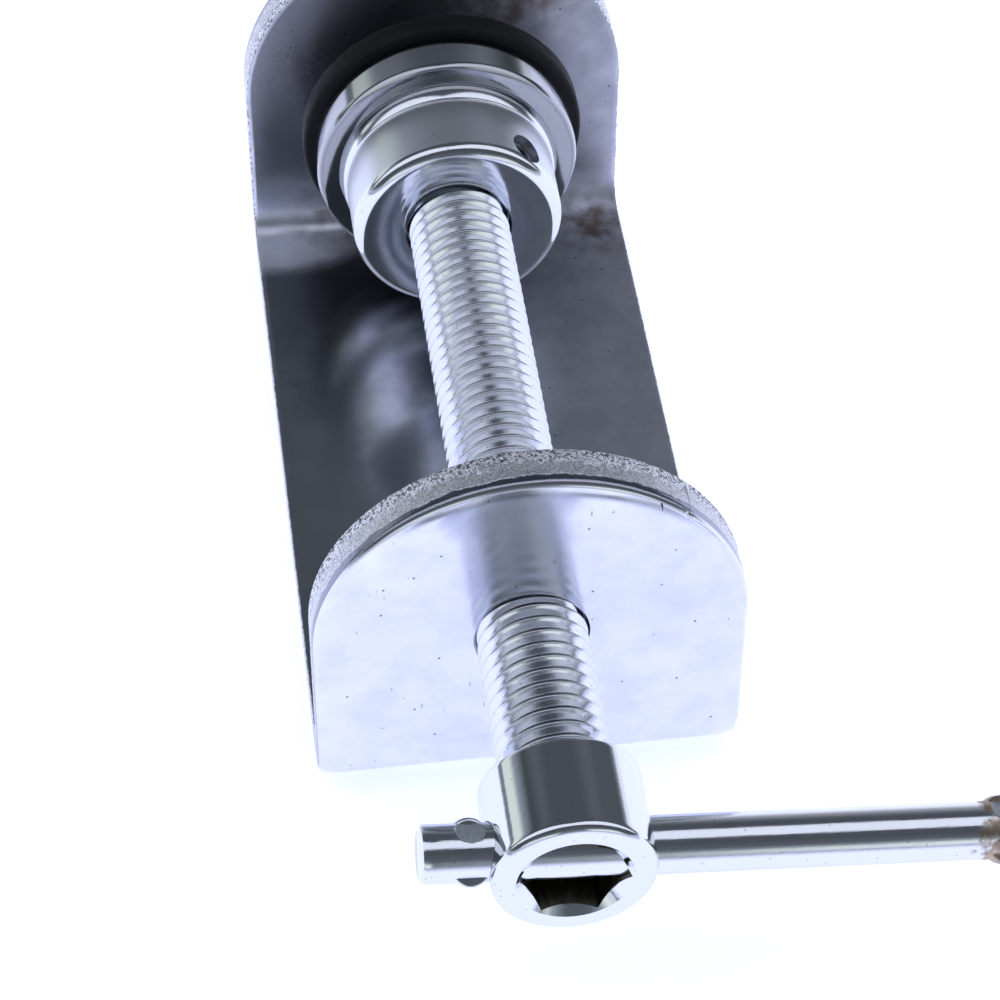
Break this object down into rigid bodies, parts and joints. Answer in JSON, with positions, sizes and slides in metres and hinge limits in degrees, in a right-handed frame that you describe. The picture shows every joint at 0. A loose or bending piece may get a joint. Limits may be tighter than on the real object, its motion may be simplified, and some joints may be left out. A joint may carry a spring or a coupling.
{
  "type": "table clamp",
  "caption": "C-shaped clamp bent from flat steel strip, with a tommy-bar screw through one arm and a rubber-faced swivel pad on its end.",
  "frame": {"origin": "middle of the flat outside face of the bracket's web", "axes": "+Z from the web to the free ends of the arms, +Y along the clamp screw from its head to its pad and the far arm, +X to the right seen from the head"},
  "size_m": [0.073, 0.1265, 0.0485],
  "materials": {
    "bright_plated_strip": "bright nickel-chrome plating over rolled and punched strip",
    "bright_plated_screw": "bright plating over a turned and threaded screw",
    "bright_plated_bar": "bright plating over drawn round bar",
    "bright_plated_pad": "bright plating over turned steel",
    "black_rubber": "smooth moulded black rubber",
    "plain_steel": "plain turned steel"
  },
  "bodies": {
    "bracket": {"c_bracket": "bright_plated_strip"},
    "pad": {"pad_body": "bright_plated_pad", "pad_face": "black_rubber", "pad_grub_screw": "plain_steel"},
    "screw": {"clamp_screw": "bright_plated_screw"},
    "bar": {"tommy_bar": "bright_plated_bar"}
  },
  "joints": [
    {"name": "pad_travel", "type": "slide", "parent": "bracket", "child": "pad", "axis": [0, 1, 0], "range_m": [-0.0581, 0.0062]},
    {"name": "screw_turn", "type": "hinge", "parent": "pad", "child": "screw", "pos_m": [0, 0, 0.02525], "axis": [0, 1, 0], "range_deg": [-11950, 1275]},
    {"name": "bar_slide", "type": "slide", "parent": "screw", "child": "bar", "axis": [0.9952, 0, -0.0976], "range_m": [-0.0344, 0]}
  ],
  "couplings": [
    {"joint": "pad_travel", "follows": "screw_turn", "m_per_rad": 0.00027852}
  ]
}
